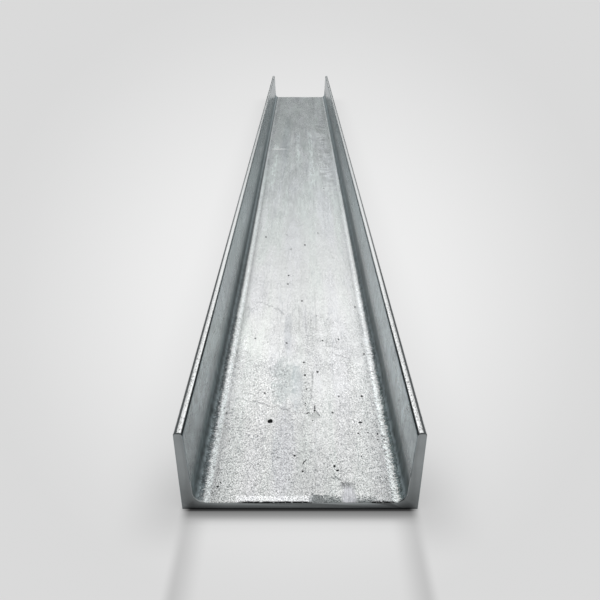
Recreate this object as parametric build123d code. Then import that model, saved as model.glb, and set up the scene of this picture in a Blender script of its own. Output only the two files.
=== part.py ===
from build123d import *
import os

# Steel C channel, hot rolled in one piece, hot-dip galvanised and sawn to length.
# It lies on the back of its web with the flanges up. +X runs across the depth of the
# section, +Y along the length and +Z from the back of the web to the toes. The origin
# is on the back of the web, midway across and midway along.

# Driving dimensions, in millimetres
LENGTH = 1000.0  # from saw cut to saw cut
DEPTH = 102.0  # from the outer face of one flange to the outer face of the other
FLANGE_WIDTH = 42.0  # from the back of the web to the toes
WEB_THICKNESS = 4.1
TOE_THICKNESS = 3.9  # flange at its toe, before the toe's corners are rounded
ROOT_RADIUS = 5.4  # hollow between the web and the inner face of a flange
TOE_INNER_RADIUS = 1.3  # toe corner on the side of the trough
TOE_OUTER_RADIUS = 1.0  # toe corner on the outside
HEEL_RADIUS = 0.4  # outer corner where the back of the web meets a flange
SAWN_EDGE_RADIUS = 0.25  # edge of a saw cut, dressed and then rounded by the zinc

# Slope of a flange's inner face: how far the flange thickens for each millimetre
# down from the toe. Rolls need such a draft to leave the groove.
FLANGE_TAPER = 0.041


def rolled_section():
    """The section, drawn in XZ: back of the web on the X axis, flanges up."""
    outer = DEPTH / 2
    toe_inner = outer - TOE_THICKNESS
    root_inner = toe_inner - FLANGE_TAPER * (FLANGE_WIDTH - WEB_THICKNESS)
    corners = [
        ((outer, 0), HEEL_RADIUS),
        ((outer, FLANGE_WIDTH), TOE_OUTER_RADIUS),
        ((toe_inner, FLANGE_WIDTH), TOE_INNER_RADIUS),
        ((root_inner, WEB_THICKNESS), ROOT_RADIUS),
    ]
    right_half = [(0, 0)] + [corner for corner, radius in corners] + [(0, WEB_THICKNESS)]
    with BuildSketch(Plane.XZ) as section:
        with BuildLine():
            Polyline(*right_half, close=True)
        make_face()
        for corner, radius in corners:
            fillet(section.vertices().sort_by_distance(corner)[0], radius)
        mirror(about=Plane.YZ)
    return section.sketch


def c_channel():
    """The section drawn out to length, with the rims of both saw cuts rounded."""
    with BuildPart() as channel:
        extrude(rolled_section(), amount=LENGTH / 2, both=True)
        saw_cuts = channel.faces().filter_by(Axis.Y)
        fillet(saw_cuts.edges(), SAWN_EDGE_RADIUS)
    return channel.part


os.makedirs("parts", exist_ok=True)
export_step(c_channel(), "parts/c_channel.step")
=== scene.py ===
import math

import bmesh
import bpy
from mathutils import Euler, Matrix, Vector, noise


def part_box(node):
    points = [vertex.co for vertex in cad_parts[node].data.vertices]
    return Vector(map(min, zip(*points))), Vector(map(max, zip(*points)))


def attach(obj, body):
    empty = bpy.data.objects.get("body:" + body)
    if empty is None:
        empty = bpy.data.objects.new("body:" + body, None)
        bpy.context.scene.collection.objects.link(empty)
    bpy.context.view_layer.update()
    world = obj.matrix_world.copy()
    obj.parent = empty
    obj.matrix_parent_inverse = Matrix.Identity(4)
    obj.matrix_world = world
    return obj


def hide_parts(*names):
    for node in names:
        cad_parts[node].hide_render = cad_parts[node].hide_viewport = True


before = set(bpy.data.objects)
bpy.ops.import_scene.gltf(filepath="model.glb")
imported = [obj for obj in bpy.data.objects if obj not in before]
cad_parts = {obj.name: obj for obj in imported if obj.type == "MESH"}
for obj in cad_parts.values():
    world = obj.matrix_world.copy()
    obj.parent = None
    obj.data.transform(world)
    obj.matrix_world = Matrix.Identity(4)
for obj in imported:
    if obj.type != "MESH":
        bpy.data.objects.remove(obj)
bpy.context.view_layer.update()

scene = bpy.context.scene
scene.view_settings.view_transform = "Standard"
MM = 0.001


# The stock. One length of channel, hot rolled from a single steel billet: a flat web and two
# flanges whose inner faces lean by the draft of the rolls. It was sawn to length, then
# dipped in molten zinc, so the same metal shows on every face.
stock_low, stock_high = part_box("c_channel")
LENGTH = stock_high.y - stock_low.y
DEPTH = stock_high.x - stock_low.x
FLANGE_WIDTH = stock_high.z - stock_low.z
WEB_THICKNESS = 4.1 * MM
TOE_THICKNESS = 3.9 * MM
FLANGE_TAPER = 0.041
ROOT_RADIUS = 5.4 * MM
TOE_INNER_RADIUS = 1.3 * MM
TOE_OUTER_RADIUS = 1.0 * MM
HEEL_RADIUS = 0.4 * MM
SAWN_EDGE_RADIUS = 0.25 * MM

WEB_STRIPS = 72  # the web's upper side is laid out in strips of little more than a millimetre
WEB_BACK_STRIPS = 12
FLANGE_INNER_STRIPS = 24
FLANGE_OUTER_STRIPS = 15
END_ROWS = [(3 * MM, 11), (60 * MM, 57), (160 * MM, 45)]  # how far in from an end, and how many rows
MIDDLE_ROWS = 95  # from there to the middle of the length
HEEL_SEGMENTS = 3
TOE_SEGMENTS = 4
ROOT_SEGMENTS = 10
RIM_SEGMENTS = 2
SMOOTH_ANGLE = math.radians(35)

outer_x = DEPTH / 2
toe_inner_x = outer_x - TOE_THICKNESS
root_inner_x = toe_inner_x - FLANGE_TAPER * (FLANGE_WIDTH - WEB_THICKNESS)
half_length = LENGTH / 2
NEAR = 0.01 * MM  # two places closer than this are the same


def near(a, b):
    return abs(a - b) < NEAR


def pick(shape, kind, test):
    """Selects, in edit mode, the faces or edges of a shape that pass the test, and nothing else."""
    bpy.ops.mesh.select_all(action="DESELECT")
    mesh = bmesh.from_edit_mesh(shape.data)
    for item in getattr(mesh, kind):
        if test(item):
            item.select_set(True)
    bmesh.update_edit_mesh(shape.data)


def middle(edge):
    return (edge.verts[0].co + edge.verts[1].co) / 2


def span(edge):
    """How far an edge reaches along X, Y and Z."""
    return tuple(abs(a - b) for a, b in zip(edge.verts[0].co, edge.verts[1].co))


def runs_lengthwise(edge, shortest=LENGTH / 2):
    across, along, up = span(edge)
    return along > shortest and across < NEAR and up < NEAR


def round_corner(shape, corner_x, corner_z, radius, segments, turn=math.pi / 2):
    """Rounds the lengthwise edges at (plus or minus corner_x, corner_z), which turn by that angle."""
    pick(shape, "edges", lambda e: runs_lengthwise(e) and near(abs(middle(e).x), corner_x)
         and near(middle(e).z, corner_z))
    bpy.ops.mesh.bevel(offset_type="OFFSET", offset=radius * math.tan(turn / 2),
                       segments=segments, profile=0.5, affect="EDGES")


def divide(shape, pieces, test):
    """Divides the edges that pass the test, and so the strips between them, into equal pieces."""
    pick(shape, "edges", test)
    bpy.ops.mesh.subdivide(number_cuts=pieces - 1)


bpy.ops.object.select_all(action="DESELECT")
bpy.ops.mesh.primitive_cube_add(size=1, location=(0, 0, WEB_THICKNESS / 2))
channel = bpy.context.object
channel.name = "rolled_channel"
channel.scale = (DEPTH, LENGTH, WEB_THICKNESS)
bpy.ops.object.transform_apply(location=True, rotation=True, scale=True)

bpy.ops.object.mode_set(mode="EDIT")
for side in (-1, 1):
    bpy.ops.mesh.select_all(action="SELECT")
    bpy.ops.mesh.bisect(plane_co=(side * root_inner_x, 0, 0), plane_no=(1, 0, 0))
pick(channel, "faces", lambda f: f.normal.z > 0.5 and abs(f.calc_center_median().x) > root_inner_x)
bpy.ops.mesh.extrude_region_move(TRANSFORM_OT_translate={"value": (0, 0, FLANGE_WIDTH - WEB_THICKNESS)})
pick(channel, "edges", lambda e: runs_lengthwise(e) and near(middle(e).z, FLANGE_WIDTH)
     and near(abs(middle(e).x), root_inner_x))
bpy.ops.transform.resize(value=(toe_inner_x / root_inner_x, 1, 1), center_override=(0, 0, 0))

lean = math.atan(FLANGE_TAPER)
round_corner(channel, outer_x, 0, HEEL_RADIUS, HEEL_SEGMENTS)
round_corner(channel, outer_x, FLANGE_WIDTH, TOE_OUTER_RADIUS, TOE_SEGMENTS)
round_corner(channel, toe_inner_x, FLANGE_WIDTH, TOE_INNER_RADIUS, TOE_SEGMENTS, math.pi / 2 + lean)
round_corner(channel, root_inner_x, WEB_THICKNESS, ROOT_RADIUS, ROOT_SEGMENTS, math.pi / 2 - lean)
pick(channel, "edges", lambda e: near(abs(e.verts[0].co.y), half_length)
     and near(abs(e.verts[1].co.y), half_length) and not runs_lengthwise(e)
     and any(abs(f.normal.y) < 0.5 for f in e.link_faces))
bpy.ops.mesh.bevel(offset_type="OFFSET", offset=SAWN_EDGE_RADIUS, segments=RIM_SEGMENTS,
                   profile=0.5, affect="EDGES")

divide(channel, WEB_STRIPS, lambda e: span(e)[0] > DEPTH / 2 and middle(e).z > WEB_THICKNESS / 2)
divide(channel, WEB_BACK_STRIPS, lambda e: span(e)[0] > DEPTH / 2 and middle(e).z < WEB_THICKNESS / 2)
divide(channel, FLANGE_INNER_STRIPS, lambda e: span(e)[2] > FLANGE_WIDTH / 2
       and abs(middle(e).x) < toe_inner_x)
divide(channel, FLANGE_OUTER_STRIPS, lambda e: span(e)[2] > FLANGE_WIDTH / 2
       and abs(middle(e).x) > toe_inner_x)
for distance in [0] + [reach for reach, rows in END_ROWS]:
    for side in (-1, 1):
        if distance or side > 0:
            bpy.ops.mesh.select_all(action="SELECT")
            place = side * (half_length - distance) if distance else 0
            bpy.ops.mesh.bisect(plane_co=(0, place, 0), plane_no=(0, 1, 0))
zone_start = 0
for zone_end, rows in END_ROWS + [(half_length, MIDDLE_ROWS)]:
    divide(channel, rows, lambda e: runs_lengthwise(e, 2 * MM)
           and zone_start < half_length - abs(middle(e).y) < zone_end
           and span(e)[1] > 0.8 * (zone_end - zone_start))
    zone_start = zone_end
bpy.ops.object.mode_set(mode="OBJECT")

# What the rolls and the zinc bath leave: a faint waviness, and flow in the coating. Inside the
# trough it goes both ways; outside it only goes inwards, so that no face stands proud.
ROLL_WAVES = (30 * MM, 0.14 * MM)  # how long the waves are, and how deep
ZINC_WAVES = (5 * MM, 0.05 * MM)
OUTER_WAVES = (30 * MM, 0.10 * MM)
BOTH_WAYS, INWARDS = 0.5, 1.0
trough = channel.vertex_groups.new(name="trough")
outside = channel.vertex_groups.new(name="outside")
for vertex in channel.data.vertices:
    if abs(vertex.co.y) < half_length - 0.5 * SAWN_EDGE_RADIUS:
        inside = abs(vertex.co.x) < toe_inner_x and vertex.co.z > WEB_THICKNESS - 0.5 * SAWN_EDGE_RADIUS
        group = trough if inside else outside
        group.add([vertex.index], 1.0, "REPLACE")


def relief(shape, name, group, size, depth, level):
    """Displaces a vertex group along its normals by soft noise of that size and depth."""
    texture = bpy.data.textures.new(name, "CLOUDS")
    texture.noise_scale = size
    texture.noise_depth = 2
    modifier = shape.modifiers.new(name, "DISPLACE")
    modifier.texture = texture
    modifier.texture_coords = "LOCAL"
    modifier.vertex_group = group
    modifier.strength = depth
    modifier.mid_level = level
    bpy.context.view_layer.objects.active = shape
    bpy.ops.object.modifier_apply(modifier=name)


relief(channel, "roll_waviness", "trough", *ROLL_WAVES, BOTH_WAYS)
relief(channel, "zinc_flow", "trough", *ZINC_WAVES, BOTH_WAYS)
relief(channel, "outer_waviness", "outside", *OUTER_WAVES, INWARDS)

# Zinc that drained over the sawn edge set as a bead along the web's end, with a crevice under
# it. It is broken: LIPS are the stretches, from x to x in millimetres, that have one.
LIPS = [(-26.0, 4.5), (31.0, 40.0)]
LIP_HEIGHT = 0.22 * MM
LIP_OVERHANG = 0.2 * MM
LIP_CREST = 0.45  # how far in from the end the bead is highest, in millimetres
LIP_WIDTH = 0.7
LIP_INWARD = 3.2  # how far in from an end the web changes, in millimetres
LIP_SIDEWAYS = 41  # and how far from the centre line
LIP_FOOT = 3.7  # and down to what height
LIP_FADE = 1.5
CREVICE_DEPTH = 0.30 * MM


def between(value, low, high, soft):
    """1 between low and high, 0 outside, with a soft step of that width."""
    rise = min(max((value - low) / soft, 0), 1)
    fall = min(max((high - value) / soft, 0), 1)
    return rise * fall


for vertex in channel.data.vertices:
    x, y, z = vertex.co / MM
    inward = half_length / MM - abs(y)
    if inward < LIP_INWARD and abs(x) < LIP_SIDEWAYS and z > LIP_FOOT:
        end = -1 if y < 0 else 1
        has_lip = max(between(-end * x, low, high, LIP_FADE) for low, high in LIPS)
        ragged = 0.75 + 0.9 * noise.noise(Vector((x * 0.9, end * 7.0, 0.0)))
        if near(inward * MM, 0):  # the corner of the sawn face
            vertex.co.z -= has_lip * CREVICE_DEPTH * 0.4 * ragged
        elif inward < 0.2:  # the rim, drawn in as the crevice
            vertex.co.y -= end * has_lip * CREVICE_DEPTH * ragged
            vertex.co.z -= has_lip * CREVICE_DEPTH * 0.25
        else:  # the bead
            crest = math.exp(-((inward - LIP_CREST) / LIP_WIDTH) ** 2)
            vertex.co.z += has_lip * LIP_HEIGHT * crest * ragged
            if inward < 0.3:
                vertex.co.y += end * has_lip * LIP_OVERHANG * ragged

bpy.ops.object.shade_smooth_by_angle(angle=SMOOTH_ANGLE)

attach(channel, "root")
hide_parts("c_channel")


# The zinc. Hot dipping leaves a grey skin of zinc and iron-zinc alloy. On the web it is bright and
# crinkled, in the roots dull and darkened by painted shade, with a painted highlight along each root's
# crown on the web's side, on the flanges smooth and bluish, and the toes are bright between two dark
# lines of painted shade on their rounded corners.
def calc(tree, operation, first, second=None, third=None, clamp=False):
    """A Math node. Each input is a number or another node's output."""
    node = tree.nodes.new("ShaderNodeMath")
    node.operation = operation
    node.use_clamp = clamp
    for socket, value in zip(node.inputs, (first, second, third)):
        if isinstance(value, (int, float)):
            socket.default_value = value
        elif value is not None:
            tree.links.new(value, socket)
    return node.outputs[0]


def times(tree, first, second):
    """The product, and so a mask that is 1 where two masks both are."""
    return calc(tree, "MULTIPLY", first, second)


def scaled(tree, value, factor, offset):
    """The value times the factor, plus the offset."""
    return calc(tree, "MULTIPLY_ADD", value, factor, offset)


def inverse(tree, mask):
    return calc(tree, "SUBTRACT", 1.0, mask)


def step(tree, value, low, high):
    """0 below low and 1 above high, with a smooth step between."""
    node = tree.nodes.new("ShaderNodeMapRange")
    node.interpolation_type = "SMOOTHSTEP"
    tree.links.new(value, node.inputs["Value"])
    node.inputs["From Min"].default_value = low
    node.inputs["From Max"].default_value = high
    return node.outputs["Result"]


def fade(tree, value, low, high):
    """1 below low and 0 above high, with a smooth step between."""
    return inverse(tree, step(tree, value, low, high))


def band(tree, value, low, high, soft):
    """1 from low to high, fading to 0 over the soft width outside."""
    rise = step(tree, value, low - soft, low)
    fall = step(tree, value, high, high + soft)
    return calc(tree, "SUBTRACT", rise, fall)


def mixed(tree, factor, first, second, how="MIX"):
    """A Mix node for colours. Each is a grey, three numbers or another node's output."""
    node = tree.nodes.new("ShaderNodeMix")
    node.data_type = "RGBA"
    node.blend_type = how
    colours = [socket for socket in node.inputs if socket.type == "RGBA"]
    for socket, value in zip(colours, (first, second)):
        if isinstance(value, float):
            value = (value, value, value)
        if isinstance(value, tuple):
            socket.default_value = value + (1,)
        else:
            tree.links.new(value, socket)
    if isinstance(factor, (int, float)):
        node.inputs["Factor"].default_value = factor
    else:
        tree.links.new(factor, node.inputs["Factor"])
    return [socket for socket in node.outputs if socket.type == "RGBA"][0]


def cloud(tree, place, size, detail=2.0, roughness=0.5, distortion=0.0, shift=0.0, turn=0.0):
    """Noise with lumps of that size in mm, a number or one for each axis, turned on the web."""
    sizes = size if isinstance(size, tuple) else (size, size, size)
    if turn:
        turned = tree.nodes.new("ShaderNodeVectorRotate")
        turned.rotation_type = "Z_AXIS"
        turned.inputs["Angle"].default_value = math.radians(turn)
        tree.links.new(place, turned.inputs["Vector"])
        place = turned.outputs["Vector"]
    mapping = tree.nodes.new("ShaderNodeMapping")
    mapping.inputs["Scale"].default_value = [1 / (length * MM) for length in sizes]
    mapping.inputs["Location"].default_value = (shift, shift * 0.7, shift * 1.3)
    tree.links.new(place, mapping.inputs["Vector"])
    node = tree.nodes.new("ShaderNodeTexNoise")
    node.inputs["Scale"].default_value = 1.0
    node.inputs["Detail"].default_value = detail
    node.inputs["Roughness"].default_value = roughness
    node.inputs["Distortion"].default_value = distortion
    tree.links.new(mapping.outputs["Vector"], node.inputs["Vector"])
    return node.outputs["Fac"]


def ramp(tree, value, stops):
    """A colour ramp. Each stop is a place and a grey or a colour."""
    node = tree.nodes.new("ShaderNodeValToRGB")
    elements = node.color_ramp.elements
    for index, (place, colour) in enumerate(stops):
        element = elements[index] if index < 2 else elements.new(place)
        element.position = place
        element.color = (colour, colour, colour, 1) if isinstance(colour, float) else colour + (1,)
    tree.links.new(value, node.inputs["Fac"])
    return node.outputs["Color"]


def bumped(tree, height, distance):
    """A normal for relief too fine to model, from a height and how deep 1 of it is."""
    node = tree.nodes.new("ShaderNodeBump")
    node.inputs["Distance"].default_value = distance
    node.inputs["Strength"].default_value = 1.0
    tree.links.new(height, node.inputs["Height"])
    return node.outputs["Normal"]


def coordinates(tree, kind):
    """Texture coordinates of that kind, whole and as X, Y and Z."""
    whole = tree.nodes.new("ShaderNodeTexCoord").outputs[kind]
    split = tree.nodes.new("ShaderNodeSeparateXYZ")
    tree.links.new(whole, split.inputs["Vector"])
    return whole, split.outputs["X"], split.outputs["Y"], split.outputs["Z"]


def spots_of(tree):
    """The place on the stock in millimetres: off the centre line, in from the near end, and up."""
    place, across, lengthwise, up = coordinates(tree, "Object")
    x = times(tree, across, 1 / MM)
    along = scaled(tree, lengthwise, 1 / MM, half_length / MM)
    height = times(tree, up, 1 / MM)
    return place, x, along, height


def mottle_group():
    """Node group: a colour clouded by soft lumps, as zinc sets in patches, and the lumps' mask."""
    tree = bpy.data.node_groups.new("zinc_mottle", "ShaderNodeTree")
    for name, kind in (("Place", "NodeSocketVector"), ("Colour", "NodeSocketColor"),
                       ("Lumps per metre", "NodeSocketFloat"), ("Strength", "NodeSocketFloat")):
        tree.interface.new_socket(name=name, in_out="INPUT", socket_type=kind)
    for name, kind in (("Colour", "NodeSocketColor"), ("Cloud", "NodeSocketFloat")):
        tree.interface.new_socket(name=name, in_out="OUTPUT", socket_type=kind)
    given = tree.nodes.new("NodeGroupInput")
    result = tree.nodes.new("NodeGroupOutput")
    lumps = tree.nodes.new("ShaderNodeTexNoise")
    lumps.inputs["Detail"].default_value = 2.0
    lumps.inputs["Distortion"].default_value = 0.5
    tree.links.new(given.outputs["Place"], lumps.inputs["Vector"])
    tree.links.new(given.outputs["Lumps per metre"], lumps.inputs["Scale"])
    swing = times(tree, calc(tree, "SUBTRACT", lumps.outputs["Fac"], 0.5), given.outputs["Strength"])
    tone = calc(tree, "ADD", swing, 1.0)
    tree.links.new(mixed(tree, 1.0, given.outputs["Colour"], tone, "MULTIPLY"), result.inputs["Colour"])
    tree.links.new(lumps.outputs["Fac"], result.inputs["Cloud"])
    return tree


mottle = mottle_group()


def mottled(tree, place, colour, size, strength):
    """Places the mottle group: the clouded colour, and the mask of its lumps of that size in mm."""
    node = tree.nodes.new("ShaderNodeGroup")
    node.node_tree = mottle
    tree.links.new(place, node.inputs["Place"])
    if isinstance(colour, tuple):
        node.inputs["Colour"].default_value = colour + (1,)
    else:
        tree.links.new(colour, node.inputs["Colour"])
    node.inputs["Lumps per metre"].default_value = 1 / (size * MM)
    node.inputs["Strength"].default_value = strength
    return node.outputs["Colour"], node.outputs["Cloud"]


def blot(tree, x, along, centre, reach, edge, wobble):
    """1 inside an oval patch of the web, given in mm, fading out to 0 over the edge share."""
    across = scaled(tree, x, 1 / reach[0], -centre[0] / reach[0])
    lengthwise = scaled(tree, along, 1 / reach[1], -centre[1] / reach[1])
    square = scaled(tree, across, across, times(tree, lengthwise, lengthwise))
    square = calc(tree, "ADD", square, wobble)
    return fade(tree, square, 1.0 - edge, 1.0 + edge)


def seam(tree, x, along, start, end, width):
    """1 on the straight line over the web from start to end, in mm, fading to 0 at that distance."""
    reach_x, reach_along = end[0] - start[0], end[1] - start[1]
    square = reach_x ** 2 + reach_along ** 2
    share = scaled(tree, x, reach_x / square, -(start[0] * reach_x + start[1] * reach_along) / square)
    share = calc(tree, "MULTIPLY_ADD", along, reach_along / square, share, clamp=True)
    aside = calc(tree, "SUBTRACT", x, scaled(tree, share, reach_x, start[0]))
    ahead = calc(tree, "SUBTRACT", along, scaled(tree, share, reach_along, start[1]))
    distance = scaled(tree, aside, aside, times(tree, ahead, ahead))
    return fade(tree, calc(tree, "SQRT", distance), 0.2 * width, width)


def toned(tree, colour, factor):
    """The colour multiplied by a grey, a colour or another node's output."""
    return mixed(tree, 1.0, colour, factor, "MULTIPLY")


def stained(tree, colour, mask, stain, strength=1.0):
    """The colour multiplied by the stain where the mask is 1, as far as the strength says."""
    return mixed(tree, times(tree, mask, strength), colour, toned(tree, colour, stain))


def new_material(name, metallic=1.0):
    """A new material, its node tree and its shader."""
    material = bpy.data.materials.new(name)
    material.use_nodes = True
    shader = material.node_tree.nodes["Principled BSDF"]
    shader.inputs["Metallic"].default_value = metallic
    return material, material.node_tree, shader


zinc, tree, shader = new_material("zinc_skin")
place, x, along, height = spots_of(tree)
off_centre = calc(tree, "ABSOLUTE", x)

# The web's zinc: crinkled at the near end, smoother and streaked further along.
GRAIN_SIZE = (0.34, 0.27, 0.38)  # across, along and up, in millimetres
CRINKLE_SIZE = (0.30, 0.66, 1.0)
SPECKLE = (0.9, 2.0, 0.6, 0.8, 41.0)  # size, detail, roughness, distortion and shift
ROUGH_REACH = (70.0, 210.0)  # the crinkled zinc fades out between these places along the stock
ROUGH_WANDER = 300.0  # and its border wanders by so much
on_right = step(tree, x, -1.0, 1.0)
mirrored = tree.nodes.new("ShaderNodeCombineXYZ")  # the crinkles slant outwards on both sides
tree.links.new(times(tree, off_centre, MM), mirrored.inputs["X"])
tree.links.new(times(tree, along, MM), mirrored.inputs["Y"])
tree.links.new(scaled(tree, on_right, 20 * MM, times(tree, height, MM)), mirrored.inputs["Z"])
sided = mirrored.outputs["Vector"]
grain = cloud(tree, place, GRAIN_SIZE, 1.5, 0.6, 1.2)
crinkle = cloud(tree, sided, CRINKLE_SIZE, 1.0, 0.5, 1.2, 3.0, 38.0)
ripples = cloud(tree, place, (2.6, 5.0, 2.6), 2.0, 0.6, 0.8, 17.0)
dabs = cloud(tree, place, (2.4, 17.0, 2.4), 2.0, 0.6, 0.3, 19.0)
broad = cloud(tree, place, (12.0, 120.0, 12.0), 2.0, 0.5, 0.3, 21.0)
streaks = cloud(tree, place, (2.2, 110.0, 2.2), 3.0, 0.6, 0.0, 31.0)
drips = cloud(tree, place, (5.0, 50.0, 5.0), 1.0, 0.4, 0.3, 91.0)
speckle = cloud(tree, place, *SPECKLE)
flow = cloud(tree, place, (18.0, 26.0, 18.0), 1.0, 0.5, 2.2, 71.0)
rough_cloud = cloud(tree, place, (13.0, 24.0, 13.0), 3.0, 0.6, 0.3, 23.0)
rough_place = scaled(tree, rough_cloud, ROUGH_WANDER, calc(tree, "SUBTRACT", along, ROUGH_WANDER / 2))
rough_zinc = fade(tree, rough_place, *ROUGH_REACH)
far_zinc = step(tree, along, 180.0, 480.0)

WEB_PALE = (0.700, 0.711, 0.708)
WEB_GREEN = (0.975, 1.00, 0.980)
WEB_VIOLET = (0.995, 0.988, 1.01)
stretched = tree.nodes.new("ShaderNodeMapping")  # the web's patches are drawn out lengthwise
stretched.inputs["Scale"].default_value = (1.0, 0.22, 1.0)
tree.links.new(place, stretched.inputs["Vector"])
web, patchy = mottled(tree, stretched.outputs["Vector"], WEB_PALE, 13.0, 0.28)
web = stained(tree, web, step(tree, broad, 0.5, 0.65), WEB_GREEN, 0.8)
web = stained(tree, web, step(tree, broad, 0.5, 0.35), WEB_VIOLET, 0.8)
streak_tone = ramp(tree, streaks, [(0.3, 0.80), (0.45, 0.92), (0.6, 1.0)])
streak_depth = scaled(tree, step(tree, along, 260.0, 520.0), 0.55, 0.25)
web = mixed(tree, streak_depth, web, toned(tree, web, streak_tone))
drip_line = band(tree, drips, 0.495, 0.505, 0.012)
web = stained(tree, web, drip_line, (0.82, 0.83, 0.84), 0.6)
dab_tone = toned(tree, ramp(tree, dabs, [(0.36, 0.80), (0.50, 0.88), (0.64, 1.0)]), 1.12)
web = stained(tree, web, far_zinc, dab_tone, 0.8)
web = stained(tree, web, far_zinc, (0.975, 1.0, 1.01))
# Painted light and shade along the web, at shares of the length.
LENGTH_LIGHT_SHADE = [(0.0, 1.0), (0.04, 1.01), (0.08, 1.08), (0.115, 1.05), (0.16, 1.0), (0.21, 0.97),
                (0.28, 0.99), (0.37, 1.04), (0.49, 1.0), (0.64, 0.96), (0.81, 0.89), (1.0, 0.94)]
web = toned(tree, web, ramp(tree, calc(tree, "DIVIDE", along, LENGTH / MM), LENGTH_LIGHT_SHADE))
# Painted light: the right half of the web is a little lighter.
right_side_light = step(tree, x, -4.0, 18.0)
web = toned(tree, web, scaled(tree, right_side_light, 0.07, 1.0))
chatter = cloud(tree, place, (1.0, 3.0, 1.0), 2.0, 0.6, 0.8, 37.0)
in_middle = band(tree, along, 120.0, 420.0, 80.0)
chatter_tone = ramp(tree, chatter, [(0.30, 0.86), (0.46, 0.97), (0.62, 1.02)])
web = stained(tree, web, in_middle, chatter_tone)

# Far down the web: pale dabs in three columns, and a ladder of ripples on the right.
# The columns, in millimetres: off the centre line, and from where to where along.
PALE_COLUMNS = [(14.0, 472.0, 682.0), (-3.0, 560.0, 680.0), (-31.0, 470.0, 600.0)]
HALF_COLUMN = 1.6
pale_columns = 0.0
for column_x, column_start, column_end in PALE_COLUMNS:
    column = times(tree, band(tree, x, column_x - HALF_COLUMN, column_x + HALF_COLUMN, 2.0),
                   band(tree, along, column_start, column_end, 40.0))
    pale_columns = calc(tree, "MAXIMUM", pale_columns, column)
long_dabs = cloud(tree, place, (2.6, 16.0, 2.6), 2.0, 0.6, 0.6, 43.0)
pale_dabs = times(tree, pale_columns, step(tree, long_dabs, 0.44, 0.56))
web = stained(tree, web, pale_dabs, (1.30, 1.33, 1.32), 0.9)
ladder_place = times(tree, band(tree, x, 25.0, 36.0, 3.0), band(tree, along, 470.0, 760.0, 60.0))
ladder = cloud(tree, place, 9.0, 1.0, 0.5, 0.4, 47.0)
ladder_tone = ramp(tree, ladder, [(0.38, 0.80), (0.50, 0.98), (0.62, 1.16)])
web = stained(tree, web, ladder_place, ladder_tone)

# Where the bath ran off: far down one bright bar and a dark column, then a smooth tongue of zinc
# on the left with a grey smear beside it, a grey cloud, a smooth pale patch and a lilac band
# nearer by, and the thin dark seams between them.
wobble = scaled(tree, flow, 1.2, -0.6)
uneven = scaled(tree, ripples, 4.0, calc(tree, "SUBTRACT", wobble, 2.0))
jagged = scaled(tree, dabs, 2.0, -1.0)
frayed = scaled(tree, dabs, 1.2, -0.6)
# The patches: centre and reach in millimetres, softness, border, strength and stain.
WEB_PATCHES = [
    ("bright_bar", (-26.5, 606.0), (11.5, 2.8), 0.5, jagged, 1.0, (1.55, 1.52, 1.50)),
    ("dark_column", (-19.0, 660.0), (5.0, 150.0), 0.8, frayed, 1.0, (0.85, 0.865, 0.88)),
    ("tongue", (-22.5, 141.0), (13.0, 34.0), 0.5, wobble, 1.0, (1.01, 1.01, 1.00)),
    ("pale_patch", (17.2, 86.0), (9.5, 12.0), 0.9, wobble, 1.0, 0.93),
    ("sparkling", (-22.0, 72.0), (9.0, 24.0), 0.8, wobble, 1.0, (1.18, 1.18, 1.17)),
    ("bright_side", (37.0, 60.0), (9.0, 46.0), 0.8, wobble, 1.0, 1.24),
    ("pale_strip", (-1.6, 84.0), (2.9, 21.0), 0.9, uneven, 1.0, (0.765, 0.785, 0.80)),
    ("grey_cloud", (-9.0, 89.0), (6.6, 19.0), 0.9, uneven, 1.0, (0.80, 0.83, 0.83)),
    ("grey_smear", (-7.6, 142.0), (2.5, 24.0), 0.5, wobble, 1.0, (0.83, 0.84, 0.855)),
    ("lilac_band", (-8.0, 30.0), (5.5, 32.0), 0.8, wobble, 1.0, (0.93, 0.925, 0.955)),
    ("dim_patch", (5.0, 16.0), (10.0, 14.0), 0.5, wobble, 1.0, 0.93),
    ("smudge", (7.8, 57.8), (3.0, 3.6), 0.9, uneven, 0.8, (0.74, 0.75, 0.74)),
]
patches = {}
for name, centre, reach, softness, border, strength, stain in WEB_PATCHES:
    patches[name] = blot(tree, x, along, centre, reach, softness, border)
    web = stained(tree, web, patches[name], stain, strength)

# The seams, in millimetres: start, end, width, darkness.
SEAMS = [
    ((-29.9, 181.3), (-23.5, 178.4), 1.3, 0.38), ((-23.5, 178.4), (-18.5, 174.1), 1.3, 0.45),
    ((-18.5, 174.1), (-13.5, 168.5), 1.3, 0.50), ((-13.5, 168.5), (-10.1, 163.0), 1.3, 0.50),
    ((10.6, 207.6), (10.2, 141.1), 0.8, 0.22), ((-0.7, 176.9), (-0.6, 143.5), 0.8, 0.22),
    ((3.5, 178.4), (3.8, 141.1), 0.8, 0.20), ((7.3, 97.0), (5.9, 72.0), 0.7, 0.60),
    ((-34.3, 72.8), (-26.1, 71.1), 1.2, 0.45), ((-26.1, 71.1), (-16.8, 66.0), 1.3, 0.50),
    ((-16.8, 66.0), (-6.3, 63.5), 1.2, 0.48), ((13.6, 16.1), (20.0, 10.6), 0.7, 0.75),
    ((20.0, 10.6), (24.2, 7.7), 0.7, 0.75), ((-4.7, 30.8), (2.9, 31.8), 1.0, 0.40),
    ((2.9, 31.8), (10.4, 29.8), 1.0, 0.40), ((10.4, 29.8), (14.9, 24.4), 1.0, 0.40),
    ((16.5, 124.5), (26.8, 122.3), 1.0, 0.38), ((18.7, 117.8), (29.5, 109.2), 1.0, 0.45),
    ((8.3, 61.0), (10.2, 57.2), 0.9, 0.50),
]
seam_x = scaled(tree, ripples, 2.8, calc(tree, "SUBTRACT", x, 1.4))
seam_along = scaled(tree, dabs, -9.0, calc(tree, "ADD", along, 4.5))
seams = 0.0
for start, end, width, darkness in SEAMS:
    line = times(tree, seam(tree, seam_x, seam_along, start, end, width), darkness)
    seams = calc(tree, "MAXIMUM", seams, line)
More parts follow.
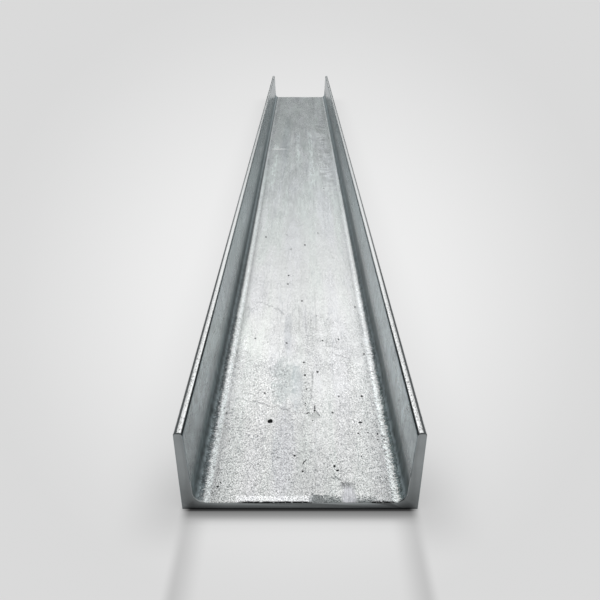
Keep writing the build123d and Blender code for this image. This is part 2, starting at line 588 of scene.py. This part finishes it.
seams = times(tree, seams, step(tree, speckle, 0.40, 0.54))
web = mixed(tree, seams, web, (0.10, 0.105, 0.11))

# Round the root: off the centre line on the web, and a third of the height on the flange. The painted
# highlight along the root's crown lies 1.2 mm further out on the right than on the left.
ROOT_SHIFT = 1.2
FLANGE_SHARE = 0.35
round_root = calc(tree, "SUBTRACT", off_centre, FLANGE_SHARE * WEB_THICKNESS / MM)
round_root = scaled(tree, height, FLANGE_SHARE, round_root)
round_root = scaled(tree, on_right, -ROOT_SHIFT, round_root)
far_shift = scaled(tree, on_right, -1.0, step(tree, along, 60.0, 260.0))
far_shift = calc(tree, "ABSOLUTE", calc(tree, "MINIMUM", far_shift, 1.0))
round_root = scaled(tree, far_shift, 0.4, round_root)
ROOT_START, ROOT_END = 30.0, 60.0
CROWN = (39.3, 41.3)
# Tones at places round the root, with a painted highlight along its crown, darker bands beside it and
# painted shade down in the root: EDGE for the web's side of it, the others for the flange's.
LEFT_EDGE_HIGHLIGHT_TONES = [(30.0, 1.04), (34.0, 1.06), (36.5, 0.90), (37.9, 0.72), (38.7, 0.96), (39.4, 1.50),
                   (39.9, 1.64), (40.9, 1.50), (41.6, 1.10), (42.3, 0.72)]
RIGHT_EDGE_HIGHLIGHT_TONES = [(30.0, 1.01), (34.0, 1.01), (36.5, 1.00), (38.0, 0.95), (38.8, 1.10), (39.6, 1.42),
                    (40.9, 1.35), (41.6, 1.16), (42.3, 0.88)]
LEFT_ROOT_SHADE_TONES = [(41.5, 0.09), (43.0, 0.09), (43.7, 0.10), (44.7, 0.225), (45.3, 0.235), (46.1, 0.162),
              (46.9, 0.146), (47.5, 0.178), (48.2, 0.205), (49.4, 0.235), (51.7, 0.272), (53.7, 0.342),
              (59.0, 0.355)]
RIGHT_ROOT_SHADE_TONES = [(41.5, 0.12), (43.0, 0.14), (43.7, 0.145), (44.1, 0.152), (44.7, 0.235), (45.2, 0.275),
               (45.8, 0.21), (46.4, 0.132), (47.1, 0.109), (48.2, 0.112), (49.0, 0.140), (50.5, 0.162),
               (52.5, 0.262), (53.8, 0.318), (58.8, 0.350)]
FLANGE_TINT = (0.98, 1.13, 1.178)


def round_root_ramp(tree, value, tones):
    """Tones at places round the root, from ROOT_START to ROOT_END."""
    reach = ROOT_END - ROOT_START
    share = scaled(tree, value, 1 / reach, -ROOT_START / reach)
    return ramp(tree, share, [((at - ROOT_START) / reach, tone) for at, tone in tones])


# Painted highlight along the root's crown, with darker bands beside it, weaker far along.
edge_depth = scaled(tree, step(tree, along, 350.0, 650.0), -0.6, 1.0)
edge_highlight_tone = mixed(tree, on_right, round_root_ramp(tree, round_root, LEFT_EDGE_HIGHLIGHT_TONES),
                  round_root_ramp(tree, round_root, RIGHT_EDGE_HIGHLIGHT_TONES))
web = mixed(tree, edge_depth, web, toned(tree, web, edge_highlight_tone))
bright_edge = times(tree, step(tree, round_root, 31.0, 35.0), band(tree, along, 75.0, 125.0, 30.0))
web = stained(tree, web, bright_edge, 1.13)
whole_crown = band(tree, round_root, *CROWN, 0.6)
near_root = fade(tree, along, 60.0, 260.0)
tooth_lines = cloud(tree, sided, (1.9, 0.62, 1.2), 1.0, 0.5, 0.7, 65.0, 28.0)
on_crown = times(tree, whole_crown, scaled(tree, near_root, 0.8, 0.2))
tooth_tone = ramp(tree, tooth_lines, [(0.35, 0.32), (0.43, 0.88), (0.49, 1.08)])
crown_marks = mixed(tree, on_crown, 1.0, tooth_tone)
crown_marks = stained(tree, crown_marks, on_crown, (0.965, 1.0, 1.0))
far_crown = times(tree, whole_crown, inverse(tree, near_root))
web = stained(tree, web, far_crown, 0.80)
far_edge = times(tree, band(tree, round_root, 35.5, 41.5, 1.5), step(tree, along, 690.0, 800.0))
web = stained(tree, web, far_edge, 0.91)

GRAIN_LIFT = 1.38  # brings the mean of the dark pits and bright crests back to about 1
grain_tone = ramp(tree, grain, [(0.30, 0.16), (0.40, 0.52), (0.49, 0.80), (0.60, 0.88), (0.74, 1.0)])
grain_tone = toned(tree, grain_tone, GRAIN_LIFT)
slant_marks = cloud(tree, sided, (0.30, 0.75, 0.5), 1.0, 0.5, 0.6, 73.0, 42.0)
slant_marks = ramp(tree, slant_marks, [(0.34, 0.28), (0.43, 1.04), (0.60, 1.32)])
at_sides = step(tree, scaled(tree, on_right, -8.0, off_centre), 6.0, 22.0)
grain_tone = stained(tree, grain_tone, at_sides, slant_marks)
hollow_tone = ramp(tree, crinkle, [(0.33, 0.20), (0.43, 0.80), (0.49, 1.0)])
grain_tone = toned(tree, grain_tone, hollow_tone)
worms = cloud(tree, sided, (1.25, 1.7, 1.25), 1.0, 0.5, 0.7, 57.0, 30.0)
worms = times(tree, band(tree, worms, 0.480, 0.520, 0.035), step(tree, grain, 0.62, 0.46))
grain_tone = stained(tree, grain_tone, worms, (0.50, 0.51, 0.52))
smooth_zinc = calc(tree, "MAXIMUM", patches["tongue"], patches["pale_patch"])
smooth_zinc = calc(tree, "MAXIMUM", smooth_zinc, patches["pale_strip"])
rough_zinc = times(tree, rough_zinc, scaled(tree, smooth_zinc, -0.55, 1.0))
grain_depth = scaled(tree, rough_zinc, 0.75, 0.25)
web = mixed(tree, grain_depth, web, toned(tree, web, grain_tone))
brightest = scaled(tree, step(tree, along, 40.0, 100.0), 0.14, 0.86)
web = toned(tree, mixed(tree, 1.0, web, brightest, "DARKEN"), crown_marks)
ripple_tone = ramp(tree, ripples, [(0.35, 0.92), (0.60, 1.0)])
ripple_depth = scaled(tree, far_zinc, -0.8, 1.0)
web = mixed(tree, ripple_depth, web, toned(tree, web, ripple_tone))
bead = times(tree, band(tree, x, -27.0, 5.0, 1.5), band(tree, along, 0.6, 3.2, 0.9))
web = stained(tree, web, bead, (1.35, 1.35, 1.37))

# The web's near edge: a dull rough patch, and a pale drip over it.
dull_drop = scaled(tree, calc(tree, "MAXIMUM", x, 7.0), 0.2, -1.4)
dull_depth = calc(tree, "ADD", along, calc(tree, "MINIMUM", dull_drop, 2.0))
dull_depth = scaled(tree, speckle, 12.0, calc(tree, "SUBTRACT", dull_depth, 6.0))
dull_edge = times(tree, band(tree, scaled(tree, speckle, 9.0, x), 9.5, 35.5, 1.5),
                  fade(tree, dull_depth, 3.9, 5.0))
dull_tone = ramp(tree, crinkle, [(0.38, (0.20, 0.215, 0.22)), (0.52, (0.33, 0.35, 0.355)),
                                 (0.66, (0.56, 0.57, 0.57))])
web = stained(tree, web, dull_edge, dull_tone)
drip_border = scaled(tree, crinkle, 2.4, -1.2)
drip_top = blot(tree, x, along, (20.8, 9.8), (3.6, 2.4), 0.5, drip_border)
web = stained(tree, web, drip_top, (0.50, 0.505, 0.515), 0.8)
drip_border = scaled(tree, crinkle, 2.2, -1.1)
drip = blot(tree, x, along, (21.4, 2.5), (3.1, 6.6), 0.45, drip_border)
drip_cloud = cloud(tree, place, (0.7, 4.0, 0.7), 2.0, 0.6, 0.5, 13.0)
drip_tone = ramp(tree, drip_cloud, [(0.38, (0.30, 0.305, 0.323)), (0.50, (0.46, 0.465, 0.495)),
                                    (0.62, (0.62, 0.625, 0.66))])
web = mixed(tree, times(tree, drip, 0.72), web, drip_tone)

# Up the flange: dull and darkened by painted shade in the root, smooth and bluish above, with painted
# light and shade along the length, palest a fifth of the way along.
flange_cloud = cloud(tree, place, (14.0, 9.0, 22.0), 2.0, 0.5, 0.5, 51.0)
flange_place = scaled(tree, flange_cloud, 1.6, calc(tree, "SUBTRACT", round_root, 0.8))
wander = cloud(tree, place, (3.0, 6.0, 3.0), 2.0, 0.6, 0.3, 53.0)
wander_reach = scaled(tree, near_root, 2.2, 0.6)
wandering = times(tree, calc(tree, "SUBTRACT", wander, 0.5), wander_reach)
wandering = calc(tree, "ADD", round_root, wandering)
flange_place = mixed(tree, step(tree, height, 7.0, 16.0), wandering, flange_place)
flange = mixed(tree, on_right, round_root_ramp(tree, flange_place, LEFT_ROOT_SHADE_TONES),
               round_root_ramp(tree, flange_place, RIGHT_ROOT_SHADE_TONES))
flange = toned(tree, flange, FLANGE_TINT)
smear = cloud(tree, place, (6.0, 4.0, 30.0), 3.0, 0.6, 0.2, 61.0)
outer_cloud = cloud(tree, place, (20.0, 36.0, 17.0), 3.0, 0.55, 0.6, 29.0)
on_outside = step(tree, off_centre, 49.8, 50.6)
inner_tone = ramp(tree, smear, [(0.28, 0.68), (0.62, 0.96)])
outer_tone = ramp(tree, outer_cloud, [(0.34, 0.74), (0.64, 0.94)])
flange = toned(tree, flange, mixed(tree, on_outside, inner_tone, outer_tone))
smudges = cloud(tree, place, (5.0, 5.5, 6.5), 2.0, 0.55, 1.2, 67.0)
at_smudges = times(tree, near_root, inverse(tree, on_outside))
smudge_tone = ramp(tree, smudges, [(0.36, 0.74), (0.50, 1.02), (0.62, 1.16)])
flange = stained(tree, flange, at_smudges, smudge_tone)
dark_root = times(tree, band(tree, height, 9.5, 17.0, 3.0), near_root)
flange = stained(tree, flange, dark_root, (0.94, 1.01, 1.01))
along_share = calc(tree, "DIVIDE", along, LENGTH / MM)
# Painted light and shade on the flanges, and the root under them, at shares of the length.
LEFT_FLANGE_LIGHT = [(0.0, 0.51), (0.03, 0.54), (0.05, 0.555), (0.08, 0.64), (0.115, 0.75), (0.16, 0.72),
             (0.22, 0.78), (0.29, 0.785), (0.36, 0.715), (0.49, 0.66), (0.64, 0.66), (0.81, 0.61),
             (0.95, 0.56)]
RIGHT_FLANGE_LIGHT = [(0.0, 0.54), (0.012, 0.64), (0.03, 0.765), (0.05, 0.74), (0.08, 0.75), (0.115, 0.80),
              (0.16, 0.825), (0.21, 0.78), (0.30, 0.765), (0.36, 0.72), (0.49, 0.71), (0.64, 0.675),
              (0.81, 0.665), (0.95, 0.61)]
ROOT_LIGHT_SHADE = [(0.0, 0.90), (0.04, 0.83), (0.08, 0.75), (0.16, 0.70), (0.22, 0.70), (0.35, 0.87),
             (0.55, 0.92), (0.90, 1.15)]
pale = mixed(tree, on_right, ramp(tree, along_share, LEFT_FLANGE_LIGHT), ramp(tree, along_share, RIGHT_FLANGE_LIGHT))
pale = mixed(tree, step(tree, height, 8.0, 18.0), ramp(tree, along_share, ROOT_LIGHT_SHADE), pale)
# Painted light in a band up the flanges, more on the right and most far along on the right, and painted
# shade in two bands near the end.
painted_light_change = scaled(tree, on_right, 0.26, 0.12)
painted_light_change = times(tree, step(tree, along, 60.0, 420.0), painted_light_change)
far_painted_light = times(tree, on_right, step(tree, along, 360.0, 1000.0))
painted_light_change = scaled(tree, far_painted_light, 0.56, painted_light_change)
painted_light_change = times(tree, band(tree, height, 11.5, 16.5, 4.5), painted_light_change)
painted_shade_near = fade(tree, along, 50.0, 130.0)
painted_shade_near = times(tree, band(tree, height, 8.0, 12.5, 2.0), painted_shade_near)
painted_light_change = scaled(tree, painted_shade_near, -0.17, painted_light_change)
painted_shade_middle = fade(tree, along, 100.0, 230.0)
painted_shade_middle = times(tree, band(tree, height, 15.5, 21.5, 4.0), painted_shade_middle)
painted_light_change = scaled(tree, painted_shade_middle, -0.23, painted_light_change)
pale = toned(tree, pale, calc(tree, "ADD", painted_light_change, 1.0))
FLANGE_LIFT = 1.6
flange = toned(tree, toned(tree, flange, pale), FLANGE_LIFT)

root_beads = times(tree, band(tree, round_root, 41.0, 44.0, 1.4),
                   scaled(tree, step(tree, along, 90.0, 300.0), -0.75, 1.0))
bead_tone = ramp(tree, speckle, [(0.38, 0.50), (0.50, 1.0), (0.62, 2.0)])
flange = stained(tree, flange, root_beads, bead_tone)
right_root = times(tree, band(tree, round_root, 42.0, 44.0, 0.8), on_right)
right_root_tone = mixed(tree, step(tree, along, 70.0, 140.0), (0.81, 0.85, 0.835), 1.11)
flange = stained(tree, flange, right_root, right_root_tone)
teeth = mixed(tree, 0.4, tooth_lines, speckle)
tooth_reach = scaled(tree, step(tree, along, 60.0, 320.0), -7.5, 10.0)
rough_border = scaled(tree, calc(tree, "SUBTRACT", teeth, 0.5), tooth_reach, round_root)
rough_border = scaled(tree, times(tree, on_right, near_root), -0.3, rough_border)
on_web = fade(tree, rough_border, 41.7, 42.4)
colour = mixed(tree, on_web, flange, web)

# The toes: bright and flecked, between two dark lines of painted shade on their rounded corners and a
# third along the sawn edge, with painted shade on the outer rounding and painted light further along.
TOE_BRIGHT = (0.72, 0.73, 0.73)
TOE_SHADE_DARK = (0.060, 0.066, 0.068)
toe_fleck = cloud(tree, place, (0.5, 1.4, 0.5), 2.0, 0.6, 0.5, 81.0)
toe_fleck = ramp(tree, toe_fleck, [(0.36, 0.30), (0.44, 0.86), (0.52, 1.08)])
toe_fleck = mixed(tree, rough_zinc, 1.0, toe_fleck)
below_toe = calc(tree, "SUBTRACT", FLANGE_WIDTH / MM, height)
toe_mask = fade(tree, below_toe, 0.45, 0.75)
toe_colour = toned(tree, toe_fleck, TOE_BRIGHT)
toe_shade = times(tree, band(tree, off_centre, 49.3, 50.4, 1.1),
                  scaled(tree, step(tree, along, 60.0, 200.0), -0.8, 1.0))
toe_colour = stained(tree, toe_colour, toe_shade, 0.72)
toe_colour = toned(tree, toe_colour, scaled(tree, step(tree, along, 80.0, 360.0), 0.26, 1.0))
colour = mixed(tree, toe_mask, colour, toe_colour)
toe_place = scaled(tree, step(tree, along, 50.0, 130.0), 0.30, off_centre)
toe_inner_shade = times(tree, band(tree, toe_place, 47.28, 47.80, 0.15),
                       scaled(tree, step(tree, along, 60.0, 180.0), -0.6, 1.0))
toe_outer_shade = times(tree, band(tree, off_centre, 49.75, 50.30, 0.40),
                       scaled(tree, step(tree, along, 100.0, 320.0), -0.35, 1.0))
toe_end_shade = fade(tree, along, 0.5, 0.8)
toe_shade_lines = calc(tree, "MAXIMUM", calc(tree, "MAXIMUM", toe_inner_shade, toe_outer_shade), toe_end_shade)
toe_shade_lines = times(tree, fade(tree, below_toe, 0.85, 1.1), toe_shade_lines)
colour = mixed(tree, toe_shade_lines, colour, TOE_SHADE_DARK)

# The rim of the near end: painted shade in the crevice under the bead, and the dull rounded saw cut.
CREVICE_SHADE = (0.012, 0.013, 0.013)


def over_lips(tree, x):
    """1 on the stretches of the web's edge that have a bead."""
    mask = 0.0
    for low, high in LIPS:
        mask = calc(tree, "MAXIMUM", mask, band(tree, x, low, high, 1.0))
    return mask


# Painted shade: the crevice under the bead is painted nearly black.
crevice = times(tree, over_lips(tree, x), fade(tree, along, 0.40, 0.55))
crevice = times(tree, crevice, band(tree, height, 3.4, 4.6, 0.2))
crevice = times(tree, crevice, step(tree, speckle, 0.34, 0.44))
colour = mixed(tree, crevice, colour, CREVICE_SHADE)
rim = fade(tree, along, 0.24, 0.36)
root_rim = times(tree, rim, band(tree, round_root, 42.5, 50.0, 1.0))
dark_rim = times(tree, on_right, fade(tree, round_root, 44.0, 46.5))
rim_colour = mixed(tree, dark_rim, (0.34, 0.36, 0.365), (0.04, 0.043, 0.045))
colour = mixed(tree, root_rim, colour, rim_colour)
tree.links.new(colour, shader.inputs["Base Color"])

roughness = scaled(tree, patchy, 0.10, 0.22)
dull_root = band(tree, round_root, 42.0, 48.5, 2.0)
roughness = mixed(tree, dull_root, roughness, 0.50)
tree.links.new(roughness, shader.inputs["Roughness"])

# The relief of the crinkles, too fine to model. It is almost flat on smooth zinc and the flanges.
CRINKLE_DEPTH = 0.045 * MM
grain_height = scaled(tree, crinkle, 1.2, calc(tree, "SUBTRACT", grain, 1.1))
grain_height = times(tree, grain_height, ramp(tree, patchy, [(0.46, 1.0), (0.66, 0.6)]))
for mask, change, base in ((rough_zinc, 0.88, 0.12), (on_web, 0.9, 0.1), (on_crown, -0.5, 1.0)):
    grain_height = times(tree, grain_height, scaled(tree, mask, change, base))
tree.links.new(bumped(tree, grain_height, CRINKLE_DEPTH), shader.inputs["Normal"])
channel.data.materials.append(zinc)


# The sawn ends. The cut is square and fine, and the thin zinc over it stays a plain steel grey, with
# the faint level lines of the saw band. Painted shade makes the web's part of it darker than the
# flanges', and darker towards the outer corners, the bottom and the crevice under the bead.
SAWN_GREY = (0.315, 0.336, 0.341)
SAW_LINE_SIZE = (40.0, 40.0, 0.35)
SAW_LINE_DEPTH = 0.004 * MM
sawn, tree, shader = new_material("sawn_end")
place, x, along, height = spots_of(tree)
colour = mottled(tree, place, SAWN_GREY, 8.0, 0.24)[0]
from_outside = calc(tree, "SUBTRACT", outer_x / MM, calc(tree, "ABSOLUTE", x))
over_mitre = calc(tree, "SUBTRACT", height, from_outside)
web_end_shade = ramp(tree, calc(tree, "DIVIDE", from_outside, outer_x / MM),
                [(0.0, 0.62), (0.12, 0.60), (0.22, 0.72), (0.38, 1.0), (0.9, 1.15)])
flange_end_shade = ramp(tree, calc(tree, "DIVIDE", height, FLANGE_WIDTH / MM),
                   [(0.0, 0.66), (0.2, 0.72), (0.5, 0.95), (0.7, 1.0)])
colour = toned(tree, colour, mixed(tree, step(tree, over_mitre, -0.5, 0.5), web_end_shade, flange_end_shade))
foot_shade = ramp(tree, calc(tree, "DIVIDE", height, 10.0), [(0.01, 0.65), (0.04, 0.92), (0.08, 1.0)])
colour = toned(tree, colour, foot_shade)
# Painted shade in the crevice under the bead.
ragged = scaled(tree, cloud(tree, place, *SPECKLE), 0.8, 3.25)
over_ragged = step(tree, calc(tree, "SUBTRACT", height, ragged), -0.05, 0.08)
under_lip_shade = times(tree, over_lips(tree, x), over_ragged)
under_rim = fade(tree, height, 4.3, 4.5)
colour = stained(tree, colour, under_lip_shade, 0.05, under_rim)
tree.links.new(colour, shader.inputs["Base Color"])
shader.inputs["Roughness"].default_value = 0.20
saw_lines = cloud(tree, place, SAW_LINE_SIZE, 2.0, 0.5, 0.0, 9.0)
tree.links.new(bumped(tree, saw_lines, SAW_LINE_DEPTH), shader.inputs["Normal"])
channel.data.materials.append(sawn)

for face in channel.data.polygons:
    if abs(face.normal.y) > 0.95:
        face.material_index = 1


# The camera, at the photo's place: over the centre line, nearly two of the section's depths
# before the near end and about as high.
PHOTO_WIDTH = 600
FOCAL_PIXELS = 601.3
VANISHING_DROP_PIXELS = 321.6  # from the picture's middle up to where the long edges meet
SENSOR_MM = 36.0
CAMERA_AHEAD = 1.830 * DEPTH  # before the near end
CAMERA_HEIGHT = 1.985 * DEPTH

camera_data = bpy.data.cameras.new("camera")
camera_data.sensor_width = SENSOR_MM
camera_data.lens = FOCAL_PIXELS / PHOTO_WIDTH * SENSOR_MM
camera_data.clip_start = 0.01
camera = bpy.data.objects.new("camera", camera_data)
scene.collection.objects.link(camera)
camera.location = (0, -half_length - CAMERA_AHEAD, CAMERA_HEIGHT)
camera_pitch = math.atan(VANISHING_DROP_PIXELS / FOCAL_PIXELS)
camera.rotation_euler = (math.pi / 2 - camera_pitch, 0, 0)
scene.camera = camera
pitch_sine = math.sin(camera_pitch)
pitch_cosine = math.cos(camera_pitch)


def web_point(pixel_x, pixel_y):
    """The point of the web's upper side that the photo shows at that pixel."""
    downward = (pixel_y - PHOTO_WIDTH / 2) / FOCAL_PIXELS
    depth = (CAMERA_HEIGHT - WEB_THICKNESS) / (pitch_sine + downward * pitch_cosine)
    ahead = depth * (pitch_cosine - downward * pitch_sine)
    return Vector(((pixel_x - PHOTO_WIDTH / 2) * depth / FOCAL_PIXELS,
                   ahead - CAMERA_AHEAD - half_length, WEB_THICKNESS))


# The dross. Specks of iron-zinc crystal from the bath are frozen into the skin of the web. They
# are low, ragged and nearly black, and most are no larger than a pinhead.
# Each speck: pixel across and down in the photo, width and length in mm, any turn in degrees.
DROSS_SPOTS = [
    (270.5, 421.3, 2.9, 2.8), (269.3, 421.8, 1.7, 1.8), (266.0, 237.0, 1.5, 2.7),
    (305.0, 245.0, 1.5, 2.7), (291.0, 249.0, 1.0, 1.7), (287.0, 235.0, 1.0, 1.7),
    (318.0, 233.0, 1.1, 1.8), (288.6, 275.6, 1.3, 2.0), (288.0, 284.0, 1.4, 2.1),
    (302.0, 301.0, 1.8, 1.3), (255.3, 338.3, 1.1, 1.4), (286.6, 343.0, 1.3, 1.5),
    (355.0, 307.0, 1.3, 1.5), (338.5, 339.5, 1.1, 1.4), (322.5, 340.5, 1.0, 1.1),
    (364.0, 354.0, 1.3, 1.4), (304.0, 362.5, 1.1, 1.3), (305.0, 375.0, 1.4, 1.5),
    (317.5, 372.0, 1.4, 1.5), (338.7, 396.3, 1.0, 1.1), (361.9, 396.3, 1.3, 1.4),
    (264.8, 393.0, 1.0, 1.1), (226.5, 413.0, 1.1, 1.1), (332.5, 412.6, 1.0, 1.0),
    (360.2, 422.5, 1.8, 1.1), (358.3, 433.2, 1.1, 1.0), (368.0, 432.5, 0.8, 0.8),
    (229.3, 441.3, 0.7, 0.8), (294.6, 455.7, 1.1, 1.1), (302.7, 471.3, 1.1, 1.0),
    (334.4, 466.2, 1.3, 1.3), (337.7, 470.5, 1.4, 1.0), (217.6, 486.6, 1.1, 1.1),
    (220.5, 482.5, 0.8, 0.8), (361.4, 456.3, 0.8, 0.8), (257.5, 436.0, 0.7, 0.8),
    (312.5, 420.4, 0.7, 0.8), (273.0, 392.0, 0.7, 1.0), (306.5, 389.0, 0.8, 1.1),
    (324.0, 188.5, 1.0, 2.2), (316.5, 316.0, 0.8, 1.1), (314.8, 407.4, 0.55, 4.0),
    (314.6, 410.6, 1.0, 1.5, -20), (308.0, 412.9, 1.8, 0.7, 28), (305.5, 403.3, 0.7, 0.7),
    (305.4, 405.6, 0.5, 0.5), (319.6, 415.2, 0.5, 1.2), (304.5, 461.8, 0.35, 3.4, -35),
    (386.0, 440.5, 0.7, 3.6, 60), (389.8, 443.2, 0.7, 3.2, 40), (377.5, 433.9, 0.8, 1.1, 20),
    (377.6, 439.6, 0.7, 0.9), (366.2, 449.4, 0.6, 0.6),
]
DROSS_HEIGHT = 0.24 * MM  # a speck's top over the zinc round it
DROSS_BLACK = (0.012, 0.013, 0.014)
CRUST_DEPTH = 0.05 * MM

dross, tree, shader = new_material("dross")
shader.inputs["Roughness"].default_value = 0.55
place, x, along, height = spots_of(tree)
colour, crust = mottled(tree, place, DROSS_BLACK, 0.5, 1.5)
tree.links.new(colour, shader.inputs["Base Color"])
tree.links.new(bumped(tree, crust, CRUST_DEPTH), shader.inputs["Normal"])

specks = []
bpy.ops.object.select_all(action="DESELECT")
bpy.ops.mesh.primitive_ico_sphere_add(subdivisions=2, radius=1, location=(0, 0, 0))
crumb = bpy.context.object
bpy.ops.object.mode_set(mode="EDIT")
bpy.ops.mesh.select_all(action="SELECT")
bpy.ops.mesh.bisect(plane_co=(0, 0, -0.6), plane_no=(0, 0, 1), use_fill=True, clear_inner=True)
bpy.ops.object.mode_set(mode="OBJECT")
crumb.data.materials.append(dross)
for number, (pixel_x, pixel_y, width, length, *turned) in enumerate(DROSS_SPOTS):
    speck = crumb.copy()
    speck.data = crumb.data.copy()
    scene.collection.objects.link(speck)
    for vertex in speck.data.vertices:
        vertex.co *= 1 + 0.5 * noise.noise(vertex.co * 1.3 + Vector((number * 7.0, 0, 0)))
    turn = turned[0] if turned else 0
    size = (width * MM / 2, length * MM / 2, DROSS_HEIGHT)
    place = web_point(pixel_x, pixel_y)
    speck.data.transform(Matrix.LocRotScale(place, Euler((0, 0, math.radians(turn))), size))
    specks.append(speck)
bpy.data.objects.remove(crumb)
bpy.ops.object.select_all(action="DESELECT")
for speck in specks:
    speck.select_set(True)
channel.select_set(True)
bpy.context.view_layer.objects.active = channel
bpy.ops.object.join()


# The floor, a plain pale studio table. Its paper has a painted pool of light round the stock, and a
# painted shadow gives the dark line of contact under the sawn end.
FLOOR_SIZE = 60.0
FLOOR_DROP = 0.05 * MM  # lower than the stock's back by this much, so that they share no plane
PAPER_LIGHT_POOL = [(0.0, 0.886), (0.24, 0.880), (0.36, 0.841), (0.48, 0.789), (0.58, 0.749),
               (0.67, 0.715), (0.76, 0.693), (0.84, 0.692)]
PAPER_REACH = 420.0  # pixels of the photo, from its middle, that the tones run over
SHADOW_REACH = 16.0  # how far, in millimetres, the shadow spreads before the sawn end
SHADOW_TONES = [(0.0, 0.035), (0.03, 0.035), (0.055, 0.07), (0.08, 0.19), (0.13, 0.26), (0.21, 0.34),
                (0.29, 0.49), (0.37, 0.69), (0.45, 0.84), (0.56, 0.94), (0.80, 0.99), (1.0, 1.0)]
PAPER_WHITE = 0.75
CONTACT_SHADOW_DARK = 0.16
CONTACT_REACH = 40 * MM
PAPER_GLOW = 0.9  # how much of the paper's look in the camera comes from its tones
bpy.ops.object.select_all(action="DESELECT")
bpy.ops.mesh.primitive_plane_add(size=FLOOR_SIZE, location=(0, 0, -FLOOR_DROP))
floor = bpy.context.object
floor.name = "floor"
paper, tree, shader = new_material("paper", 0.0)
output = tree.nodes["Material Output"]
across, lengthwise = coordinates(tree, "Object")[1:3]
ahead = calc(tree, "ADD", lengthwise, half_length + CAMERA_AHEAD)
depth = scaled(tree, ahead, pitch_cosine, CAMERA_HEIGHT * pitch_sine)
depth = calc(tree, "MAXIMUM", depth, 10 * MM)
sideways = calc(tree, "DIVIDE", across, depth)
downward = scaled(tree, ahead, -pitch_sine, CAMERA_HEIGHT * pitch_cosine)
downward = calc(tree, "DIVIDE", downward, depth)
spread = calc(tree, "SQRT", calc(tree, "ADD", times(tree, sideways, sideways),
                                 times(tree, downward, downward)))
tone = ramp(tree, times(tree, spread, FOCAL_PIXELS / PAPER_REACH), PAPER_LIGHT_POOL)

contact = tree.nodes.new("ShaderNodeAmbientOcclusion")
contact.samples = 16
contact.inputs["Distance"].default_value = CONTACT_REACH
# Painted shadow before the sawn end, darker towards its corners and under its edge, and beside the near
# corners; elsewhere the shade of ambient occlusion.
before_end = scaled(tree, lengthwise, -1 / MM, -half_length / MM)
beside = scaled(tree, calc(tree, "ABSOLUTE", across), 1 / MM, -outer_x / MM)
front = times(tree, step(tree, before_end, -1.5, -0.2), fade(tree, beside, -4.0, 1.5))
front_shade = ramp(tree, calc(tree, "DIVIDE", before_end, SHADOW_REACH), SHADOW_TONES)
end_corner_shadow = times(tree, step(tree, beside, -14.0, -2.0), step(tree, before_end, 3.5, 7.5))
front_shade = toned(tree, front_shade, scaled(tree, end_corner_shadow, -0.27, 1.0))
side_shade = scaled(tree, contact.outputs["AO"], 0.25, 0.75)
near_corner_shadow = times(tree, step(tree, beside, 30.0, 0.0), step(tree, before_end, -48.0, -4.0))
near_corner_shadow = times(tree, near_corner_shadow, step(tree, before_end, 28.0, 2.0))
side_shade = times(tree, side_shade, scaled(tree, near_corner_shadow, -0.18, 1.0))
tone = mixed(tree, 1.0, tone, mixed(tree, front, side_shade, front_shade), "MULTIPLY")
contact_shadow_line = times(tree, front, fade(tree, before_end, 0.5, 1.3))
paper_colour = mixed(tree, contact_shadow_line, PAPER_WHITE, CONTACT_SHADOW_DARK)
tree.links.new(paper_colour, shader.inputs["Base Color"])
shader.inputs["Roughness"].default_value = 1.0
shader.inputs["Specular IOR Level"].default_value = 0.0

glow = tree.nodes.new("ShaderNodeEmission")
tree.links.new(tone, glow.inputs["Color"])
seen = tree.nodes.new("ShaderNodeLightPath")
direct = calc(tree, "MAXIMUM", seen.outputs["Is Camera Ray"], seen.outputs["Is Glossy Ray"])
direct = calc(tree, "MAXIMUM", direct, seen.outputs["Is Transmission Ray"])
mix = tree.nodes.new("ShaderNodeMixShader")
tree.links.new(times(tree, direct, PAPER_GLOW), mix.inputs["Fac"])
tree.links.new(shader.outputs["BSDF"], mix.inputs[1])
tree.links.new(glow.outputs["Emission"], mix.inputs[2])
tree.links.new(mix.outputs["Shader"], output.inputs["Surface"])
floor.data.materials.append(paper)


# The light: a soft studio dome, dim at the horizon, brightest a third of the way up.
DOME = [
    (0.00, (0.13, 0.145, 0.15)),
    (0.10, (0.12, 0.137, 0.141)),
    (0.20, (0.20, 0.218, 0.222)),
    (0.32, (0.72, 0.736, 0.736)),
    (0.40, (1.06, 1.07, 1.07)),
    (0.50, 1.44),
    (0.60, 1.50),
    (0.74, 1.18),
    (0.88, 0.82),
    (1.00, 0.96),
]
world = bpy.data.worlds.new("studio")
scene.world = world
world.use_nodes = True
tree = world.node_tree
background = tree.nodes["Background"]
up = coordinates(tree, "Generated")[3]
tree.links.new(ramp(tree, up, DOME), background.inputs["Color"])
background.inputs["Strength"].default_value = 1.0
